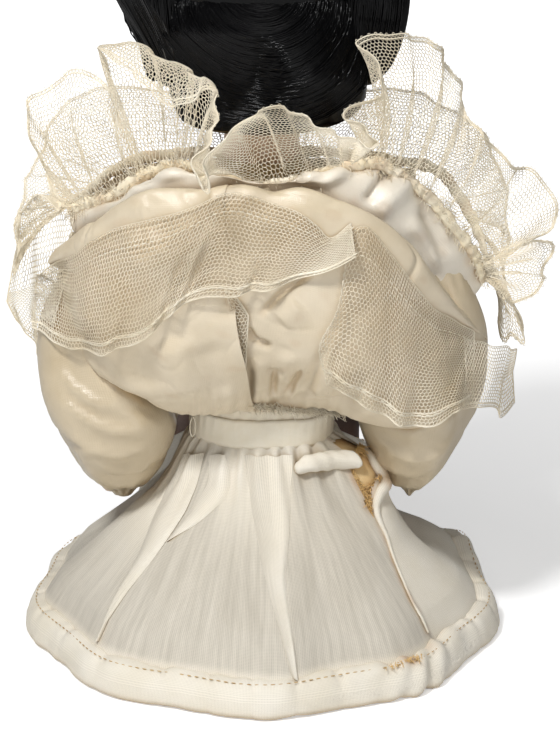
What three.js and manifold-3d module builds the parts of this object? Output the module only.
// A dressed cloth doll, sitting on the floor with its legs straight forward under its skirt.
// Millimetres. +Z is up, the doll faces -Y, +X is the doll's left. The origin is under the seat.
import * as THREE from "three";
import { mergeVertices } from "three/addons/utils/BufferGeometryUtils.js";
import Module from "manifold-3d";

const wasm = await Module();
wasm.setup();

// Heights, each counted from the one before it
const SEAT_TO_WAIST = 71;
const WAISTBAND_DEPTH = 10;
const WAISTBAND_TO_SHOULDER = 55;
const SHOULDER_TO_NECK = 34;
const NECK_LENGTH = 18;

// Gaps
const SEAM_GAP = 0.4;
const THREAD_GAP = 0.3;
const BAND_GAP = 0.8;

// Trunk of stuffed calico
const SEAT_HALF_WIDTH = 15;
const HIP_HALF_WIDTH = 19.5;
const HIP_DEPTH = 19.5;
const WAIST_HALF_WIDTH = 23;
const WAIST_HALF_DEPTH = 18.6;
const CHEST_HALF_WIDTH = 39;
const CHEST_DEPTH = 21;
const SHOULDER_HALF_WIDTH = 46;
const SHOULDER_DEPTH = 18;
const NECK_RADIUS = 12;
const NECK_TAPER = 0.6;
const RIBS_BELOW_SHOULDER = 34;
const CHEST_BELOW_SHOULDER = 18;
const BACK_FLATNESS = 0.5;
const TRUNK_SQUARENESS = 2.3;

// Seat: share of the height to the waist, share of the way out to the hips, back and front drawn in
const SEAT_PROFILE = [
  [0, 0, 4, 5],
  [0.08, 0.67, 1, 2],
  [0.22, 1, 0, 0],
  [0.42, 1, 0, 0],
];

// Slope of the shoulders: share of the rise to the neck, share of the way in to the neck across and through
const SHOULDER_SLOPE = [
  [0.35, 0.265, 0.4],
  [0.7, 0.735, 0.75],
];

// Neck post and joint threads
const POST_RADIUS = 3.5;
const POST_ABOVE_SHOULDER = 6;
const POST_IN_HEAD = 40;
const THREAD_RADIUS = 0.9;
const BUTTON_RADIUS = 5;
const BUTTON_THICKNESS = 2;

// Head and hair
const HEAD_HALF_WIDTH = 33.5;
const HEAD_HALF_DEPTH = 35.5;
const HEAD_HEIGHT = 84;
const EAR_RISE = 43.7;
const HAIRLINE_RISE = 72.2;
const HAIRLINE_FORWARD = 22;
const TEMPLE_FORWARD = 18.5;
const ROLL_THICKNESS = 15.5;
const ROLL_DEPTH = 29;
const ROLL_HEIGHT = 32;
const ROLL_OFFSET = 32.5;
const ROLL_BACK = 3;
const ROLL_RISE = 37;
const LOBE_HALF_WIDTH = 33;
const LOBE_DEPTH = 24;
const LOBE_HEIGHT = 31;
const LOBE_BACK = 20;
const LOBE_RISE = 26;
const CROWN_HALF_WIDTH = 43;
const CROWN_HALF_DEPTH = 41;
const CROWN_HEIGHT = 43;
const CROWN_BACK = 4;
const CROWN_RISE = 55.4;
const FRONT_ROLL_HALF_WIDTH = 31;
const FRONT_ROLL_THICKNESS = 12;
const FRONT_ROLL_HEIGHT = 13;
const FRONT_ROLL_FORWARD = 26.3;
const FRONT_ROLL_RISE = 72.2;
const KNOT_RADIUS = 15;
const KNOT_HEIGHT = 11;
const KNOT_BACK = 8;
const KNOT_ABOVE_CROWN = 2.2;

// Head: share of its height, then shares of its half width, its back and its front
const HEAD_PROFILE = [
  [0, 0.28, 0.3, 0.36],
  [0.08, 0.6, 0.56, 0.72],
  [0.22, 0.84, 0.8, 0.9],
  [0.4, 0.97, 0.95, 0.97],
  [0.56, 1, 1, 0.97],
  [0.74, 0.95, 0.98, 0.9],
  [0.88, 0.76, 0.82, 0.72],
  [0.96, 0.48, 0.54, 0.46],
  [1, 0.16, 0.18, 0.16],
];

// Arms and hands
const ARM_RADIUS = 10;
const ELBOW_RADIUS = 8.6;
const FOREARM_RADIUS = 7;
const WRIST_RADIUS = 5;
const ARM_LENGTH = 88;
const ELBOW_OUT = 1;
const WRIST_IN = 6;
const WRIST_FORWARD = 13;
const HAND_LENGTH = 10.5;
const HAND_HALF_WIDTH = 4.9;
const HAND_REACH = 13;
const HAND_OUT = 3;
const CUFF_ROOM = 14;
const ARMHOLE_EASE = 1;

// How far up the ball of a shoulder and back round the end of a thigh its rings lie
const SHOULDER_BALL = [0.98, 0.8, 0.45];
const THIGH_END = [0.97, 0.75, 0.4];
const THIGH_END_BLUNTNESS = 0.6;

// Hand: share of its length, then shares of its half width across and through
const HAND_PROFILE = [
  [0, 0.84, 0.86],
  [0.3, 1, 1.12],
  [0.62, 0.98, 1.24],
  [0.88, 0.7, 0.86],
  [1, 0.25, 0.3],
];

// Legs and shoes
const HIP_JOINT_FORWARD = 4;
const THIGH_HALF_HEIGHT = 13.5;
const THIGH_HALF_WIDTH = 10;
const KNEE_HALF_HEIGHT = 11.5;
const KNEE_HALF_WIDTH = 8.8;
const CALF_HALF_HEIGHT = 10.5;
const CALF_HALF_WIDTH = 9;
const KNEE_SHARE = 0.52;
const CALF_SHARE = 0.74;
const ANKLE_RADIUS = 7.2;
const LEG_LENGTH = 118;
const SHOE_HEIGHT = 37;
const SHOE_HALF_WIDTH = 7.8;
const SHOE_HALF_DEPTH = 8.4;
const SHOE_LAP = 5;
const SHOE_SQUARENESS = 2.2;
const SOLE_CLEARANCE = 0.5;

// Shoe, from heel to toe: share of its height, then shares of its half width and half depth, and its lean
const SHOE_PROFILE = [
  [0, 0.5, 0.5, 0],
  [0.06, 0.82, 0.88, 0],
  [0.25, 0.94, 1, -0.4],
  [0.5, 0.96, 0.86, -2],
  [0.75, 1, 0.66, -4.4],
  [0.93, 0.82, 0.48, -6.4],
  [1, 0.42, 0.26, -7],
];

// Cloth
const SATIN_THICKNESS = 1.4;
const NET_THICKNESS = 1;
const MUSLIN_THICKNESS = 1.2;
const TAPE_THICKNESS = 1.5;
const WAIST_TAPE_DEPTH = 5.5;
const NECK_BAND_HALF_HEIGHT = 2;
const NECK_BAND_HALF_THICKNESS = 1.1;
const SLEEVE_SQUARENESS = 2.2;

// Skirt and its padded hem
const HEM_RADIUS = 77;
const HEM_HALF_HEIGHT = 6;
const HEM_HALF_THICKNESS = 5;
const HEM_ARCH = 27;
const ARCH_FLAT_DEG = 38;
const ARCH_END_DEG = 70;
const FOLD_DEPTH = 1.6;
const FOLD_COUNT = 9;
const HAND_DENT = 6.5;
const HAND_DENT_DEG = 108;
const HAND_DENT_SPREAD_DEG = 20;
const PLACKET_DEG = -47;
const PLACKET_LENGTH = 24;
const PLACKET_WIDTH = 5;
const PLACKET_OVERCUT = 1;
const TUCK_RADIUS = 3.6;
const TUCK_FROM_DEG = -22;
const TUCK_TO_DEG = -66;
const TUCK_DROP_SHARE = 0.1;
const TUCK_STAND_SHARE = 0.72;
const TUCK_END_SHARE = 0.08;

// How the skirt falls: share of its height, share of its spread
const SKIRT_FALL = [
  [0, 0],
  [0.22, 0.155],
  [0.34, 0.27],
  [0.5, 0.48],
  [0.65, 0.655],
  [0.84, 0.885],
  [1, 1],
];

// Sleeve outline: height above the shoulder joint, inner x, outer x, front, back
const SLEEVE_OUTLINE = [
  [13.5, 48.5, 54.5, 5, 5],
  [9, 46.8, 59.5, 11.5, 11.5],
  [0, 46.8, 64.5, 15.5, 15.5],
  [-12, 46.8, 69, 19, 19],
  [-24, 43.5, 73, 23, 22],
  [-36, 38, 74.4, 25, 24.5],
  [-46, 33, 74, 27, 28],
  [-56, 29, 71.5, 28, 29],
  [-66, 30, 67, 29, 26.5],
  [-76, 36, 62, 29, 19],
  [-83, 41, 59.5, 27, 10],
  [-88.4, 45, 56.8, 21, -3],
];

// Neckline, from the front round the doll's left and back: x, y, height above the shoulder joint
const NECKLINE = [
  [6, -29.5, 24],
  [24, -26, 25],
  [46, -16, 24],
  [63.5, 2, 14.5],
  [58.5, 10, 18],
  [50, 15, 22],
  [38, 21, 31],
  [28, 25, 35],
  [20, 28, 35.5],
  [0, 30.5, 30],
  [-20, 29, 34],
  [-36, 24, 36],
  [-46, 20, 30],
  [-55, 16, 22],
  [-63, 12, 11],
  [-71, 7, -1],
  [-74.5, 2, -11],
  [-74.5, -13, -2],
  [-61, -21, 19],
  [-40, -22, 24],
  [-22, -27, 25],
  [-6, -29.5, 24],
];

// Free edge of the standing net ruffle, one point for each point of the neckline
const RUFFLE_EDGE = [
  [8, -42, 38],
  [32, -42, 42],
  [60, -32, 46],
  [80, 2, 14],
  [77, 10, 51],
  [60, 16, 64],
  [51, 26, 73],
  [42, 35, 78],
  [20, 49, 67],
  [-2, 48, 60],
  [-22, 47, 54],
  [-33, 44, 83],
  [-49, 34, 81],
  [-62, 22, 69],
  [-76, 12, 38],
  [-95, 8, 15],
  [-92, 3, -11],
  [-88, -14, 0],
  [-74, -34, 29],
  [-52, -42, 42],
  [-30, -42, 42],
  [-8, -42, 38],
];
const RUFFLE_WAVE = 2.2;
const RUFFLE_WAVES = 13;
const RUFFLE_OPEN_SHARE = 0.01;

// Satin panels of the bodice: bulge half way down, and lower edge, from the opening outwards
const OPENING_STATION = 8.55;
const OPENING_GAP = 0.03;
const LEFT_BULGE = [
  [8, 38, -11],
  [20, 41, -11],
  [30, 41.5, -10],
  [41, 39.5, -8],
  [53, 34, -4.5],
  [63, 22.5, 1],
  [71.5, 5, 3],
];
const LEFT_LOWER = [
  [4, 22.4, -48.5],
  [19, 24.5, -49],
  [30, 30.5, -48],
  [41, 33.5, -43],
  [54, 31.5, -36],
  [64.5, 23, -21],
  [73.5, 5, -5],
];
const RIGHT_BULGE = [
  [7, 38, -11],
  [-3, 40, -11],
  [-20, 42, -11],
  [-34, 41.5, -9],
  [-46, 38.5, -6],
  [-56, 32.5, -5],
  [-65, 23, -7],
  [-72.8, 11, -11],
  [-76, 3, -15.5],
];
const RIGHT_LOWER = [
  [3, 22.4, -48.5],
  [-6, 22.6, -48.7],
  [-19, 24.5, -49],
  [-33, 31, -48],
  [-45, 33.8, -43],
  [-57, 31.5, -37],
  [-66, 24, -30],
  [-73.5, 11.5, -23],
  [-76.3, 3, -19],
];
const FRONT_BULGE = [
  [36, -17, -20],
  [24, -27, -20],
  [6, -31, -20],
  [-6, -31, -20],
  [-22, -28, -20],
  [-34, -19, -20],
];
const FRONT_LOWER = [
  [24, -10, -48.6],
  [18, -17.5, -48.6],
  [5, -22, -48.6],
  [-5, -22, -48.6],
  [-17, -18.5, -48.6],
  [-24, -10, -48.6],
];

// Net drapes over the back: sewn edge as shares across and down the panel, and free edge
const LEFT_DRAPE_SEWN = [
  [0.02, 0.08],
  [0.2, 0.1],
  [0.4, 0.12],
  [0.6, 0.16],
  [0.8, 0.22],
  [0.98, 0.3],
];
const LEFT_DRAPE_FREE = [
  [2, 45, -3],
  [18, 46, 1],
  [32, 45.5, -7],
  [50, 40, -21],
  [66, 28, -25],
  [85, 10, -18],
];
const RIGHT_DRAPE_SEWN = [
  [0.3, 0.28],
  [0.42, 0.3],
  [0.55, 0.4],
  [0.68, 0.56],
  [0.82, 0.62],
  [0.97, 0.7],
];
const RIGHT_DRAPE_FREE = [
  [-21, 41.5, -33],
  [-31, 41, -41],
  [-43, 41.5, -48],
  [-56, 38.5, -50],
  [-72, 29, -48],
  [-88, 10, -50],
];
const DRAPE_GAP = 0.5;
const DRAPE_BELLY = 13;
const DRAPE_STEP = 0.02;

// How finely the forms are divided
const TRUNK_SIDES = 24;
const HEAD_SIDES = 20;
const HAIR_SIDES = 16;
const HAIR_RINGS = 10;
const LIMB_SIDES = 12;
const ARM_STEPS = 5;
const LEG_SIDES = 16;
const LEG_STEPS = 8;
const SLEEVE_SIDES = 16;
const POST_SIDES = 16;
const SEAT_SIDES = 20;
const SKIRT_SIDES = 48;
const HEM_SIDES = 8;
const TUCK_SIDES = 10;
const TUCK_STEPS = 8;
const BAND_STEPS = 48;
const BAND_SIDES = 6;
const PANEL_COLUMNS = 12;
const PANEL_ROWS = 5;
const NET_ROWS = 3;
const RUFFLE_COLUMNS = 60;

const CALICO = { color: 0xcdb487, roughness: 0.9 };
const SATIN = { color: 0xe9dfc4, roughness: 0.42 };
const NET = { color: 0xdccfb0, roughness: 0.85 };
const MUSLIN = { color: 0xe4dcc8, roughness: 0.9 };
const TAPE = { color: 0xe8dec6, roughness: 0.85 };
const HAIR = { color: 0x0c0b0d, roughness: 0.35 };
const SKIN = { color: 0xd9b08c, roughness: 0.4 };
const STOCKING = { color: 0xe6ddc9, roughness: 0.9 };
const SHOE_LEATHER = { color: 0x3a2a22, roughness: 0.55 };
const WOOD = { color: 0xb58a55, roughness: 0.7 };
const THREAD = { color: 0xcbbd9a, roughness: 0.8 };
const BONE = { color: 0xe4dac2, roughness: 0.5 };

const waistHeight = SEAT_TO_WAIST;
const bandTop = waistHeight + WAISTBAND_DEPTH;
const shoulderHeight = bandTop + WAISTBAND_TO_SHOULDER;
const neckHeight = shoulderHeight + SHOULDER_TO_NECK;
const neckTop = neckHeight + NECK_LENGTH;
const hipHeight = THIGH_HALF_HEIGHT + SOLE_CLEARANCE;
const armX = SHOULDER_HALF_WIDTH + SEAM_GAP + ARM_RADIUS;
const legX = HIP_HALF_WIDTH + 2 * SEAM_GAP + THIGH_HALF_WIDTH;
const chinHeight = neckTop + SEAM_GAP;
const headMiddle = chinHeight + HEAD_HEIGHT / 2;
const armButtonX = armX + ARM_RADIUS - 2 * BUTTON_THICKNESS;
const legButtonX = legX + THIGH_HALF_WIDTH - BUTTON_THICKNESS;

const point = (x, y, z) => new THREE.Vector3(x, y, z);
const radians = (degrees) => THREE.MathUtils.degToRad(degrees);

// A closed solid from points and faces, turned so that it faces outwards.
function solid(points, faces) {
  let volume = 0;
  for (const [a, b, c] of faces) {
    volume += points[a].dot(points[b].clone().cross(points[c]));
  }
  const geometry = new THREE.BufferGeometry().setFromPoints(points);
  geometry.setIndex(faces.flatMap(([a, b, c]) => (volume < 0 ? [a, c, b] : [a, b, c])));
  return geometry;
}

function quad(faces, a, b, c, d) {
  faces.push([a, b, c], [a, c, d]);
}

// Skin over rings that follow one another, closed by a fan at each end.
function loft(rings) {
  const count = rings[0].length;
  const points = rings.flat();
  const faces = [];
  for (let i = 0; i + 1 < rings.length; i += 1) {
    for (let j = 0; j < count; j += 1) {
      const k = (j + 1) % count;
      quad(faces, i * count + j, i * count + k, (i + 1) * count + k, (i + 1) * count + j);
    }
  }
  for (const [start, turned] of [[0, true], [(rings.length - 1) * count, false]]) {
    const middle = point(0, 0, 0);
    for (let j = 0; j < count; j += 1) {
      middle.addScaledVector(points[start + j], 1 / count);
    }
    points.push(middle);
    for (let j = 0; j < count; j += 1) {
      const k = (j + 1) % count;
      const fan = [start + j, start + k, points.length - 1];
      faces.push(turned ? fan.reverse() : fan);
    }
  }
  return solid(points, faces);
}

// Skin over rings that meet again at the first one, as round a hem.
function loop(rings) {
  const count = rings[0].length;
  const faces = [];
  for (let i = 0; i < rings.length; i += 1) {
    const next = (i + 1) % rings.length;
    for (let j = 0; j < count; j += 1) {
      const k = (j + 1) % count;
      quad(faces, i * count + j, i * count + k, next * count + k, next * count + j);
    }
  }
  return solid(rings.flat(), faces);
}

// Cloth between an outer and an inner grid of points. A wrapped grid closes on itself sideways.
function cloth(outer, inner, wrapped) {
  const rows = outer.length;
  const columns = outer[0].length;
  const points = [...outer.flat(), ...inner.flat()];
  const faces = [];
  const out = (i, j) => i * columns + (j % columns);
  const ins = (i, j) => rows * columns + out(i, j);
  const last = wrapped ? columns : columns - 1;
  for (let i = 0; i + 1 < rows; i += 1) {
    for (let j = 0; j < last; j += 1) {
      quad(faces, out(i, j), out(i, j + 1), out(i + 1, j + 1), out(i + 1, j));
      quad(faces, ins(i, j), ins(i + 1, j), ins(i + 1, j + 1), ins(i, j + 1));
    }
  }
  for (let j = 0; j < last; j += 1) {
    quad(faces, out(0, j + 1), out(0, j), ins(0, j), ins(0, j + 1));
    quad(faces, out(rows - 1, j), out(rows - 1, j + 1), ins(rows - 1, j + 1), ins(rows - 1, j));
  }
  if (!wrapped) {
    for (let i = 0; i + 1 < rows; i += 1) {
      quad(faces, out(i, 0), out(i + 1, 0), ins(i + 1, 0), ins(i, 0));
      quad(faces, out(i + 1, last), out(i, last), ins(i, last), ins(i + 1, last));
    }
  }
  return solid(points, faces);
}

// The grid moved off along its own normals, away from the doll's axis when the distance is positive.
function offset(grid, distance) {
  const away = point(0, 0, 0);
  return grid.map((row, i) =>
    row.map((at, j) => {
      const along = row[Math.min(j + 1, row.length - 1)].clone().sub(row[Math.max(j - 1, 0)]);
      const below = grid[Math.min(i + 1, grid.length - 1)][j];
      const down = below.clone().sub(grid[Math.max(i - 1, 0)][j]);
      const normal = along.cross(down).normalize();
      away.set(at.x, at.y, 0);
      return at.clone().addScaledVector(normal, normal.dot(away) < 0 ? -distance : distance);
    }),
  );
}

// The grid moved off to one side of the strip it makes.
function strip(grid, distance) {
  return grid.map((row, i) =>
    row.map((at, j) => {
      const along = row[Math.min(j + 1, row.length - 1)].clone().sub(row[Math.max(j - 1, 0)]);
      const below = grid[Math.min(i + 1, grid.length - 1)][j];
      const down = below.clone().sub(grid[Math.max(i - 1, 0)][j]);
      return at.clone().addScaledVector(along.cross(down).normalize(), distance);
    }),
  );
}

// An upright oval ring that may be deeper at the back than at the front.
function oval(z, halfWidth, back, front, count, squareness = 2, middle = [0, 0]) {
  const ring = [];
  for (let j = 0; j < count; j += 1) {
    const turn = (2 * Math.PI * j) / count;
    const s = Math.sin(turn);
    const c = Math.cos(turn);
    const x = Math.sign(s) * Math.abs(s) ** (2 / squareness);
    const y = Math.sign(c) * Math.abs(c) ** (2 / squareness);
    ring.push(point(middle[0] + halfWidth * x, middle[1] + (c > 0 ? back : front) * y, z));
  }
  return ring;
}

// Values between rows of a table whose first column rises or falls.
function between(rows, at) {
  const rising = rows[0][0] < rows[rows.length - 1][0] ? rows : [...rows].reverse();
  let i = 0;
  while (i + 2 < rising.length && rising[i + 1][0] < at) {
    i += 1;
  }
  const share = THREE.MathUtils.clamp((at - rising[i][0]) / (rising[i + 1][0] - rising[i][0]), 0, 1);
  return rising[i].map((value, k) => value + share * (rising[i + 1][k] - value));
}

function manifold(geometry) {
  const bare = geometry.clone();
  bare.deleteAttribute("normal");
  bare.deleteAttribute("uv");
  const merged = mergeVertices(bare, 1e-3);
  return new wasm.Manifold(
    new wasm.Mesh({
      numProp: 3,
      vertProperties: new Float32Array(merged.attributes.position.array),
      triVerts: new Uint32Array(merged.index.array),
    }),
  );
}

function cut(geometry, ...tools) {
  let body = manifold(geometry);
  for (const tool of tools) {
    body = body.subtract(manifold(tool));
  }
  const mesh = body.getMesh();
  const result = new THREE.BufferGeometry();
  result.setAttribute("position", new THREE.BufferAttribute(new Float32Array(mesh.vertProperties), 3));
  result.setIndex([...mesh.triVerts]);
  return result;
}

function rod(radius, length, segments) {
  return new THREE.CylinderGeometry(radius, radius, length, segments);
}

function sideways(radius, length, y, z, x = 0, segments = LIMB_SIDES) {
  return rod(radius, length, segments).rotateZ(Math.PI / 2).translate(x, y, z);
}

function upright(radius, from, to) {
  return rod(radius, to - from, POST_SIDES).rotateX(Math.PI / 2).translate(0, 0, (from + to) / 2);
}

function ball(halfWidth, halfDepth, halfHeight, x, y, z) {
  const round = new THREE.SphereGeometry(1, HAIR_SIDES, HAIR_RINGS);
  return round.rotateX(Math.PI / 2).scale(halfWidth, halfDepth, halfHeight).translate(x, y, z);
}

// Trunk
function trunkRings(grow) {
  const seat = SEAT_PROFILE.map(([share, out, back, front]) => {
    const halfWidth = THREE.MathUtils.lerp(SEAT_HALF_WIDTH, HIP_HALF_WIDTH, out);
    return [SEAT_TO_WAIST * share, halfWidth, HIP_DEPTH - back, HIP_DEPTH - front];
  });
  const slope = SHOULDER_SLOPE.map(([share, across, inwards]) => {
    const halfWidth = THREE.MathUtils.lerp(SHOULDER_HALF_WIDTH, NECK_RADIUS, across);
    const depth = THREE.MathUtils.lerp(SHOULDER_DEPTH, NECK_RADIUS, inwards);
    return [shoulderHeight + SHOULDER_TO_NECK * share, halfWidth, depth, depth];
  });
  const ribs = (WAIST_HALF_WIDTH + CHEST_HALF_WIDTH) / 2;
  const neckEnd = NECK_RADIUS - NECK_TAPER;
  const rows = [
    ...seat,
    [waistHeight, WAIST_HALF_WIDTH, WAIST_HALF_DEPTH, WAIST_HALF_DEPTH],
    [bandTop + WAIST_TAPE_DEPTH, WAIST_HALF_WIDTH, WAIST_HALF_DEPTH, WAIST_HALF_DEPTH],
    [shoulderHeight - RIBS_BELOW_SHOULDER, ribs, CHEST_DEPTH - 2 * BACK_FLATNESS, CHEST_DEPTH],
    [shoulderHeight - CHEST_BELOW_SHOULDER, CHEST_HALF_WIDTH, CHEST_DEPTH - BACK_FLATNESS, CHEST_DEPTH],
    [shoulderHeight, SHOULDER_HALF_WIDTH, SHOULDER_DEPTH, SHOULDER_DEPTH],
    ...slope,
    [neckHeight, NECK_RADIUS, NECK_RADIUS, NECK_RADIUS],
    [neckTop, neckEnd, neckEnd, neckEnd],
  ];
  return rows.map(([z, halfWidth, back, front]) => {
    return oval(z, halfWidth + grow, back + grow, front + grow, TRUNK_SIDES, TRUNK_SQUARENESS);
  });
}

const postFrom = shoulderHeight + POST_ABOVE_SHOULDER;
const postTo = chinHeight + POST_IN_HEAD;
const threadBore = THREAD_RADIUS + THREAD_GAP;
const postBore = POST_RADIUS + SEAM_GAP;
const shoulderBore = sideways(threadBore, 2 * armX + 4 * ARM_RADIUS, 0, shoulderHeight);
const hipBore = sideways(threadBore, 2 * legX + 4 * THIGH_HALF_WIDTH, -HIP_JOINT_FORWARD, hipHeight);
const neckBore = upright(postBore, postFrom - SEAM_GAP, postTo + SEAM_GAP);

function buildTrunk() {
  return cut(loft(trunkRings(0)), shoulderBore, hipBore, neckBore);
}

function buildThread(buttonX, y, z) {
  return sideways(THREAD_RADIUS, 2 * (buttonX + BUTTON_THICKNESS), y, z);
}

function buildButton(side, buttonX, y, z) {
  const hole = THREAD_RADIUS + THREAD_GAP;
  const profile = [
    [hole, 0],
    [BUTTON_RADIUS, 0],
    [BUTTON_RADIUS, BUTTON_THICKNESS * 0.7],
    [BUTTON_RADIUS * 0.8, BUTTON_THICKNESS],
    [hole, BUTTON_THICKNESS],
    [hole, 0],
  ].map(([r, h]) => new THREE.Vector2(r, h));
  const disc = new THREE.LatheGeometry(profile, LIMB_SIDES).rotateZ((-side * Math.PI) / 2);
  return disc.translate(side * (buttonX + THREAD_GAP), y, z);
}

// Head and hair
function headGeometry(grow) {
  return loft(
    HEAD_PROFILE.map(([share, width, back, front], i) => {
      const end = i === 0 ? -grow : 0;
      const z = chinHeight + share * HEAD_HEIGHT + (i === HEAD_PROFILE.length - 1 ? grow : end);
      const depth = HEAD_HALF_DEPTH;
      return oval(z, width * HEAD_HALF_WIDTH + grow, back * depth + grow, front * depth + grow, HEAD_SIDES);
    }),
  );
}

const headRoom = headGeometry(SEAM_GAP);
const lobe = (grow) =>
  ball(
    LOBE_HALF_WIDTH + grow,
    LOBE_DEPTH + grow,
    LOBE_HEIGHT + grow,
    0,
    LOBE_BACK,
    chinHeight + LOBE_RISE,
  );
const sideRoll = (side, grow) =>
  ball(
    ROLL_THICKNESS + grow,
    ROLL_DEPTH + grow,
    ROLL_HEIGHT + grow,
    side * ROLL_OFFSET,
    ROLL_BACK,
    chinHeight + ROLL_RISE,
  );
const frontRoll = (grow) =>
  ball(
    FRONT_ROLL_HALF_WIDTH + grow,
    FRONT_ROLL_THICKNESS + grow,
    FRONT_ROLL_HEIGHT + grow,
    0,
    -FRONT_ROLL_FORWARD,
    chinHeight + FRONT_ROLL_RISE,
  );
const crownBall = (grow) =>
  ball(
    CROWN_HALF_WIDTH + grow,
    CROWN_HALF_DEPTH + grow,
    CROWN_HEIGHT + grow,
    0,
    CROWN_BACK,
    chinHeight + CROWN_RISE,
  );

// The crown keeps what lies above the ears and behind the hairline.
function crownTrim() {
  const size = 4 * CROWN_HALF_WIDTH;
  const below = new THREE.BoxGeometry(size, size, size);
  below.translate(0, 0, chinHeight + EAR_RISE - size / 2);
  const face = new THREE.BoxGeometry(2 * FRONT_ROLL_HALF_WIDTH, size, size);
  face.translate(0, -HAIRLINE_FORWARD - size / 2, chinHeight + HAIRLINE_RISE - size / 2);
  return [below, face];
}

function faceOpening() {
  const size = 2 * HEAD_HEIGHT;
  const box = new THREE.BoxGeometry(size, size, size);
  return box.translate(0, -TEMPLE_FORWARD - size / 2, headMiddle);
}

function buildKnot() {
  const z = chinHeight + CROWN_RISE + CROWN_HEIGHT + KNOT_ABOVE_CROWN;
  return cut(ball(KNOT_RADIUS, KNOT_RADIUS, KNOT_HEIGHT, 0, KNOT_BACK, z), crownBall(SEAM_GAP), headRoom);
}

// Arms: rings down from the ball at the shoulder to the wrist.
function armCentre(drop) {
  const share = THREE.MathUtils.clamp(drop / ARM_LENGTH, 0, 1);
  const bend = share * share;
  const x = armX + ELBOW_OUT * Math.sin(Math.PI * share) - WRIST_IN * bend;
  return [x, -WRIST_FORWARD * bend];
}

function armRings(side, grow, below) {
  const rings = [];
  for (const lift of SHOULDER_BALL) {
    const radius = ARM_RADIUS * Math.sqrt(1 - lift * lift);
    rings.push(limbRing(side, -lift * (ARM_RADIUS + grow), radius + grow));
  }
  const rows = [
    [0, ARM_RADIUS],
    [0.5, ELBOW_RADIUS],
    [0.8, FOREARM_RADIUS],
    [1, WRIST_RADIUS],
  ];
  for (let k = 0; k <= ARM_STEPS; k += 1) {
    const share = k / ARM_STEPS;
    rings.push(limbRing(side, share * ARM_LENGTH, between(rows, share)[1] + grow));
  }
  if (below) {
    rings.push(limbRing(side, ARM_LENGTH + below, WRIST_RADIUS + grow, below));
  }
  return rings;
}

function limbRing(side, drop, radius, forward = 0) {
  const [x, y] = armCentre(drop);
  return oval(shoulderHeight - drop, radius, radius, radius, LIMB_SIDES, 2, [side * x, y - forward]);
}

function buildArm(side) {
  const seat = sideways(
    BUTTON_RADIUS + SEAM_GAP,
    2 * ARM_RADIUS,
    0,
    shoulderHeight,
    side * (armButtonX + ARM_RADIUS),
    SEAT_SIDES,
  );
  return cut(loft(armRings(side, 0, 0)), seat, shoulderBore);
}

function handGeometry(side, grow) {
  const [x, y] = armCentre(ARM_LENGTH);
  const top = shoulderHeight - ARM_LENGTH - SEAM_GAP;
  return loft(
    HAND_PROFILE.map(([share, width, depth]) => {
      const middle = [side * (x + HAND_OUT * share), y - HAND_REACH * share];
      const halfWidth = width * HAND_HALF_WIDTH + grow;
      const halfDepth = depth * HAND_HALF_WIDTH + grow;
      return oval(top - share * HAND_LENGTH, halfWidth, halfDepth, halfDepth, LIMB_SIDES, 2, middle);
    }),
  );
}

function buildSleeve(side) {
  const rings = SLEEVE_OUTLINE.map(([rise, inner, outer, front, back]) => {
    const middle = [(side * (inner + outer)) / 2, (back - front) / 2];
    const halfDepth = (back + front) / 2;
    const z = shoulderHeight + rise;
    return oval(z, (outer - inner) / 2, halfDepth, halfDepth, SLEEVE_SIDES, SLEEVE_SQUARENESS, middle);
  });
  const armhole = sideways(
    ARM_RADIUS + ARMHOLE_EASE,
    2 * ARM_RADIUS,
    0,
    shoulderHeight,
    side * SHOULDER_HALF_WIDTH,
    SEAT_SIDES,
  );
  const arm = loft(armRings(side, SEAM_GAP, CUFF_ROOM));
  return cut(loft(rings), arm, handGeometry(side, SEAM_GAP), armhole);
}

// Legs: rings forward from the round end at the hip to the ankle.
function legRings(side, grow, beyond) {
  const rings = [];
  const rows = [
    [0, THIGH_HALF_WIDTH, THIGH_HALF_HEIGHT],
    [KNEE_SHARE, KNEE_HALF_WIDTH, KNEE_HALF_HEIGHT],
    [CALF_SHARE, CALF_HALF_WIDTH, CALF_HALF_HEIGHT],
    [1, ANKLE_RADIUS, ANKLE_RADIUS],
  ];
  for (const back of THIGH_END) {
    const round = Math.sqrt(1 - back * back);
    const halfWidth = THIGH_HALF_WIDTH * round ** THIGH_END_BLUNTNESS;
    rings.push(legRing(side, -back * THIGH_HALF_HEIGHT, halfWidth, THIGH_HALF_HEIGHT * round, hipHeight));
  }
  for (let k = 0; k <= LEG_STEPS; k += 1) {
    const [share, halfWidth, halfHeight] = between(rows, k / LEG_STEPS);
    const z = halfHeight + SOLE_CLEARANCE;
    rings.push(legRing(side, share * LEG_LENGTH, halfWidth + grow, halfHeight + grow, z));
  }
  if (beyond) {
    const radius = ANKLE_RADIUS + grow;
    rings.push(legRing(side, LEG_LENGTH + beyond, radius, radius, ANKLE_RADIUS + SOLE_CLEARANCE));
  }
  return rings;
}

function legRing(side, reach, halfWidth, halfHeight, z) {
  const ring = [];
  for (let j = 0; j < LEG_SIDES; j += 1) {
    const turn = (2 * Math.PI * j) / LEG_SIDES;
    const x = side * legX + halfWidth * Math.sin(turn);
    ring.push(point(x, -HIP_JOINT_FORWARD - reach, z + halfHeight * Math.cos(turn)));
  }
  return ring;
}

function buildLeg(side) {
  const seat = sideways(
    BUTTON_RADIUS + SEAM_GAP,
    2 * THIGH_HALF_WIDTH,
    -HIP_JOINT_FORWARD,
    hipHeight,
    side * (legButtonX + THIGH_HALF_WIDTH),
    SEAT_SIDES,
  );
  return cut(loft(legRings(side, 0, 0)), seat, hipBore);
}

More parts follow.
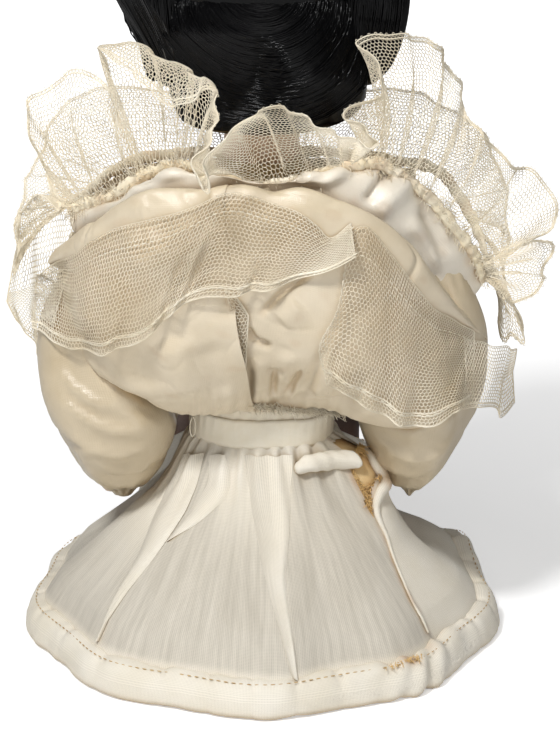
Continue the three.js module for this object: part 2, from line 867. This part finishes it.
function buildShoe(side) {
  const y = -HIP_JOINT_FORWARD - LEG_LENGTH - SHOE_LAP;
  const shoe = loft(
    SHOE_PROFILE.map(([share, width, depth, lean]) => {
      const halfDepth = depth * SHOE_HALF_DEPTH;
      const z = SOLE_CLEARANCE + share * SHOE_HEIGHT;
      const middle = [side * legX, y + lean];
      return oval(z, width * SHOE_HALF_WIDTH, halfDepth, halfDepth, LEG_SIDES, SHOE_SQUARENESS, middle);
    }),
  );
  return cut(shoe, loft(legRings(side, SEAM_GAP, SEAM_GAP)));
}

// Skirt and hem
function archLift(turn) {
  const fromFront = THREE.MathUtils.radToDeg(Math.PI - Math.abs(turn));
  return HEM_ARCH * (1 - THREE.MathUtils.smoothstep(fromFront, ARCH_FLAT_DEG, ARCH_END_DEG));
}

function skirtPoint(turn, share, grow) {
  const top = waistHeight - SEAM_GAP;
  const bottom = 2 * HEM_HALF_HEIGHT + SEAM_GAP + archLift(turn);
  const spread = between(SKIRT_FALL, share)[1];
  const waistX = WAIST_HALF_WIDTH + SEAM_GAP + TAPE_THICKNESS;
  const waistY = WAIST_HALF_DEPTH + SEAM_GAP + TAPE_THICKNESS;
  const fold = FOLD_DEPTH * share * Math.cos(FOLD_COUNT * turn);
  const aside = (Math.abs(turn) - radians(HAND_DENT_DEG)) / radians(HAND_DENT_SPREAD_DEG);
  const dent = HAND_DENT * Math.sin(Math.PI * share) ** 2 * Math.exp(-aside * aside);
  const radius = (waist) => waist + (HEM_RADIUS - waist) * spread + fold - dent + grow;
  const power = 2 / (TRUNK_SQUARENESS + (2 - TRUNK_SQUARENESS) * spread);
  const rounded = (value) => Math.sign(value) * Math.abs(value) ** power;
  const z = top + (bottom - top) * share;
  return point(radius(waistX) * rounded(Math.sin(turn)), radius(waistY) * rounded(Math.cos(turn)), z);
}

function skirtGrid(grow) {
  const rows = [];
  for (const [share] of SKIRT_FALL) {
    const row = [];
    for (let j = 0; j < SKIRT_SIDES; j += 1) {
      row.push(skirtPoint(-Math.PI + (2 * Math.PI * j) / SKIRT_SIDES, share, grow));
    }
    rows.push(row);
  }
  return rows;
}

function buildSkirt() {
  const whole = cloth(skirtGrid(0), skirtGrid(-MUSLIN_THICKNESS), true);
  const turn = radians(PLACKET_DEG);
  const slit = new THREE.Shape([
    new THREE.Vector2(-PLACKET_WIDTH / 2, PLACKET_OVERCUT),
    new THREE.Vector2(0, -PLACKET_LENGTH),
    new THREE.Vector2(PLACKET_WIDTH / 2, PLACKET_OVERCUT),
  ]);
  const wedge = new THREE.ExtrudeGeometry(slit, { depth: HEM_RADIUS, bevelEnabled: false });
  wedge.rotateX(Math.PI / 2).rotateZ(Math.PI).rotateZ(-turn).translate(0, 0, waistHeight);
  return cut(whole, wedge);
}

function buildHem() {
  const rings = [];
  for (let i = 0; i < SKIRT_SIDES; i += 1) {
    const turn = -Math.PI + (2 * Math.PI * i) / SKIRT_SIDES;
    const radius = HEM_RADIUS + FOLD_DEPTH * Math.cos(FOLD_COUNT * turn) - MUSLIN_THICKNESS / 2;
    const ring = [];
    for (let j = 0; j < HEM_SIDES; j += 1) {
      const around = (2 * Math.PI * (j + 0.5)) / HEM_SIDES;
      const out = radius + HEM_HALF_THICKNESS * Math.cos(around);
      const rise = (HEM_HALF_HEIGHT * Math.sin(around)) / Math.cos(Math.PI / HEM_SIDES);
      ring.push(point(out * Math.sin(turn), out * Math.cos(turn), HEM_HALF_HEIGHT + archLift(turn) + rise));
    }
    rings.push(ring);
  }
  return loop(rings);
}

function waistRing(inside, thickness, from, to) {
  const grid = (grow) =>
    [from, to].map((z) => {
      const depth = WAIST_HALF_DEPTH + grow;
      return oval(z, WAIST_HALF_WIDTH + grow, depth, depth, TRUNK_SIDES, TRUNK_SQUARENESS);
    });
  return cloth(grid(inside + thickness), grid(inside), true);
}

function buildTuck() {
  const rings = [];
  for (let i = 0; i <= TUCK_STEPS; i += 1) {
    const share = i / TUCK_STEPS;
    const turn = radians(TUCK_FROM_DEG + share * (TUCK_TO_DEG - TUCK_FROM_DEG));
    const inside = THREE.MathUtils.lerp(TUCK_END_SHARE, 1 - TUCK_END_SHARE, share);
    const radius = TUCK_RADIUS * Math.sqrt(Math.sin(Math.PI * inside));
    const foot = skirtPoint(turn, TUCK_DROP_SHARE, TUCK_RADIUS * TUCK_STAND_SHARE);
    const outward = point(Math.sin(turn), Math.cos(turn), 0);
    const ring = [];
    for (let j = 0; j < TUCK_SIDES; j += 1) {
      const around = (2 * Math.PI * j) / TUCK_SIDES;
      const at = foot.clone().addScaledVector(outward, radius * Math.cos(around));
      at.z += radius * Math.sin(around);
      ring.push(at);
    }
    rings.push(ring);
  }
  const band = waistRing(0, TAPE_THICKNESS + 2 * SEAM_GAP, waistHeight - SEAM_GAP, bandTop);
  return cut(loft(rings), cloth(skirtGrid(SEAM_GAP), skirtGrid(-2 * MUSLIN_THICKNESS), true), band);
}

// Bodice
const raised = (rows, lift = 0) => rows.map(([x, y, z]) => point(x, y, z + shoulderHeight + lift));
const through = (points, closed = false) => new THREE.CatmullRomCurve3(points, closed);

const neckline = through(raised(NECKLINE), true);

// The neckline band's middle at a share of its length, with the ways out and up across the band.
function bandFrame(share) {
  const at = neckline.getPoint(share);
  const along = neckline.getTangent(share);
  const side = point(along.y, -along.x, 0).normalize();
  const up = side.clone().cross(along).normalize();
  if (up.z < 0) {
    up.negate();
  }
  return { at, side, up };
}

// Where cloth sewn to the band starts, above it or below it.
function bandEdge(share, way) {
  const { at, up } = bandFrame((share + 1) % 1);
  return at.addScaledVector(up, way * (NECK_BAND_HALF_HEIGHT + BAND_GAP));
}

function panelSurface(stations, bulge, lower) {
  const shares = stations.map((station, i) => [i / (stations.length - 1), station]);
  const upperEdge = (across) => bandEdge(between(shares, across)[1] / NECKLINE.length, -1);
  const middleLine = through(raised(bulge));
  const lowerEdge = through(raised(lower));
  return (across, down) => {
    const a = upperEdge(across);
    const m = middleLine.getPoint(across);
    const b = lowerEdge.getPoint(across);
    const pull = m.clone().multiplyScalar(2).addScaledVector(a, -0.5).addScaledVector(b, -0.5);
    return new THREE.QuadraticBezierCurve3(a, pull, b).getPoint(down);
  };
}

const leftPanel = panelSurface([OPENING_STATION - OPENING_GAP, 8, 7, 6, 5, 4, 3], LEFT_BULGE, LEFT_LOWER);
const rightPanel = panelSurface(
  [OPENING_STATION + OPENING_GAP, 9, 10, 11, 12, 13, 14, 15, 16],
  RIGHT_BULGE,
  RIGHT_LOWER,
);
const frontPanel = panelSurface([2, 1, 0, -1, -2, -3], FRONT_BULGE, FRONT_LOWER);

function grid(columns, rows, at) {
  const made = [];
  for (let i = 0; i <= rows; i += 1) {
    const row = [];
    for (let j = 0; j <= columns; j += 1) {
      row.push(at(j / columns, i / rows));
    }
    made.push(row);
  }
  return made;
}

function buildPanel(surface) {
  const outer = grid(PANEL_COLUMNS, PANEL_ROWS, surface);
  return cloth(outer, offset(outer, -SATIN_THICKNESS), false);
}

function buildDrape(surface, sewn, free) {
  const freeEdge = through(raised(free));
  const sewnLine = through(sewn.map(([across, down]) => point(across, down, 0)));
  const onPanel = (across) => {
    const { x, y } = sewnLine.getPoint(across);
    const at = surface(x, y);
    const along = surface(Math.min(x + DRAPE_STEP, 1), y).sub(surface(Math.max(x - DRAPE_STEP, 0), y));
    const down = surface(x, y + DRAPE_STEP).sub(surface(x, y - DRAPE_STEP));
    const normal = along.cross(down).normalize();
    const outward = normal.dot(point(at.x, at.y, 0)) < 0 ? -1 : 1;
    return at.addScaledVector(normal, outward * (DRAPE_GAP + NET_THICKNESS));
  };
  const outer = grid(PANEL_COLUMNS, NET_ROWS, (across, down) => {
    const from = onPanel(across);
    const to = freeEdge.getPoint(across);
    const belly = from.clone().lerp(to, 0.5);
    const away = point(belly.x, belly.y, 0).normalize();
    belly.addScaledVector(away, DRAPE_BELLY);
    return new THREE.QuadraticBezierCurve3(from, belly, to).getPoint(down);
  });
  return cloth(outer, offset(outer, -NET_THICKNESS), false);
}

function buildNeckBand() {
  const rings = [];
  for (let i = 0; i < BAND_STEPS; i += 1) {
    const { at, side, up } = bandFrame(i / BAND_STEPS);
    const ring = [];
    for (let j = 0; j < BAND_SIDES; j += 1) {
      const around = (2 * Math.PI * (j + 0.5)) / BAND_SIDES;
      const shifted = at.clone().addScaledVector(side, NECK_BAND_HALF_THICKNESS * Math.cos(around));
      ring.push(shifted.addScaledVector(up, NECK_BAND_HALF_HEIGHT * Math.sin(around)));
    }
    rings.push(ring);
  }
  return loop(rings);
}

function buildRuffle() {
  const edge = through(raised(RUFFLE_EDGE), true);
  const middle = grid(RUFFLE_COLUMNS, NET_ROWS, (along, up) => {
    const share = RUFFLE_OPEN_SHARE + along * (1 - 2 * RUFFLE_OPEN_SHARE);
    const at = bandEdge(share, 1).lerp(edge.getPoint(share), up);
    const away = point(at.x, at.y, 0).normalize();
    return at.addScaledVector(away, RUFFLE_WAVE * up * Math.sin(2 * Math.PI * RUFFLE_WAVES * along));
  });
  return cloth(strip(middle, NET_THICKNESS / 2), strip(middle, -NET_THICKNESS / 2), false);
}

// Assembly: one group for each piece that moves by itself
const doll = new THREE.Group();
doll.name = "doll";
const bodies = {};
for (const name of ["torso", "head", "left_arm", "right_arm", "left_leg", "right_leg"]) {
  bodies[name] = new THREE.Group();
  bodies[name].name = name;
  doll.add(bodies[name]);
}

function add(body, name, geometry, finish) {
  const mesh = new THREE.Mesh(geometry, new THREE.MeshStandardMaterial({ metalness: 0, ...finish }));
  mesh.name = name;
  bodies[body].add(mesh);
}

add("torso", "trunk", buildTrunk(), CALICO);
add("torso", "neck_post", upright(POST_RADIUS, postFrom, postTo), WOOD);
add("torso", "shoulder_thread", buildThread(armButtonX, 0, shoulderHeight), THREAD);
add("torso", "hip_thread", buildThread(legButtonX, -HIP_JOINT_FORWARD, hipHeight), THREAD);
add("torso", "waistband", waistRing(SEAM_GAP, TAPE_THICKNESS, waistHeight, bandTop), TAPE);
const waistTape = waistRing(SEAM_GAP, TAPE_THICKNESS, bandTop + SEAM_GAP, bandTop + WAIST_TAPE_DEPTH);
add("torso", "bodice_waist_tape", waistTape, TAPE);
add("torso", "skirt", buildSkirt(), MUSLIN);
add("torso", "skirt_hem", buildHem(), MUSLIN);
add("torso", "skirt_tuck", buildTuck(), MUSLIN);
add("torso", "bodice_front", buildPanel(frontPanel), SATIN);
add("torso", "bodice_back_left", buildPanel(leftPanel), SATIN);
add("torso", "bodice_back_right", buildPanel(rightPanel), SATIN);
add("torso", "neckline_band", buildNeckBand(), TAPE);
add("torso", "standing_ruffle", buildRuffle(), NET);
add("torso", "left_net_drape", buildDrape(leftPanel, LEFT_DRAPE_SEWN, LEFT_DRAPE_FREE), NET);
add("torso", "right_net_drape", buildDrape(rightPanel, RIGHT_DRAPE_SEWN, RIGHT_DRAPE_FREE), NET);

add("head", "head_form", cut(headGeometry(0), neckBore), SKIN);
const rolls = (grow) => [sideRoll(1, grow), sideRoll(-1, grow)];
add("head", "hair_left_roll", cut(sideRoll(1, 0), headRoom, lobe(SEAM_GAP), faceOpening()), HAIR);
add("head", "hair_right_roll", cut(sideRoll(-1, 0), headRoom, lobe(SEAM_GAP), faceOpening()), HAIR);
const neckRoom = upright(NECK_RADIUS + 2 * SEAM_GAP, neckHeight, neckTop + 2 * SEAM_GAP);
add("head", "hair_back_lobe", cut(lobe(0), headRoom, neckRoom), HAIR);
add("head", "hair_front_roll", cut(frontRoll(0), headRoom, ...rolls(SEAM_GAP)), HAIR);
const besideCrown = [headRoom, lobe(SEAM_GAP), ...rolls(SEAM_GAP), frontRoll(SEAM_GAP)];
add("head", "hair_crown", cut(crownBall(0), ...besideCrown, ...crownTrim()), HAIR);
add("head", "hair_knot", buildKnot(), HAIR);

for (const [word, side] of [["left", 1], ["right", -1]]) {
  add("torso", `${word}_shoulder_button`, buildButton(side, armButtonX, 0, shoulderHeight), BONE);
  add("torso", `${word}_hip_button`, buildButton(side, legButtonX, -HIP_JOINT_FORWARD, hipHeight), BONE);
  add(`${word}_arm`, `${word}_arm_form`, buildArm(side), CALICO);
  add(`${word}_arm`, `${word}_hand`, handGeometry(side, 0), SKIN);
  add(`${word}_arm`, `${word}_sleeve`, buildSleeve(side), SATIN);
  add(`${word}_leg`, `${word}_leg_form`, buildLeg(side), STOCKING);
  add(`${word}_leg`, `${word}_shoe`, buildShoe(side), SHOE_LEATHER);
}

export default doll;
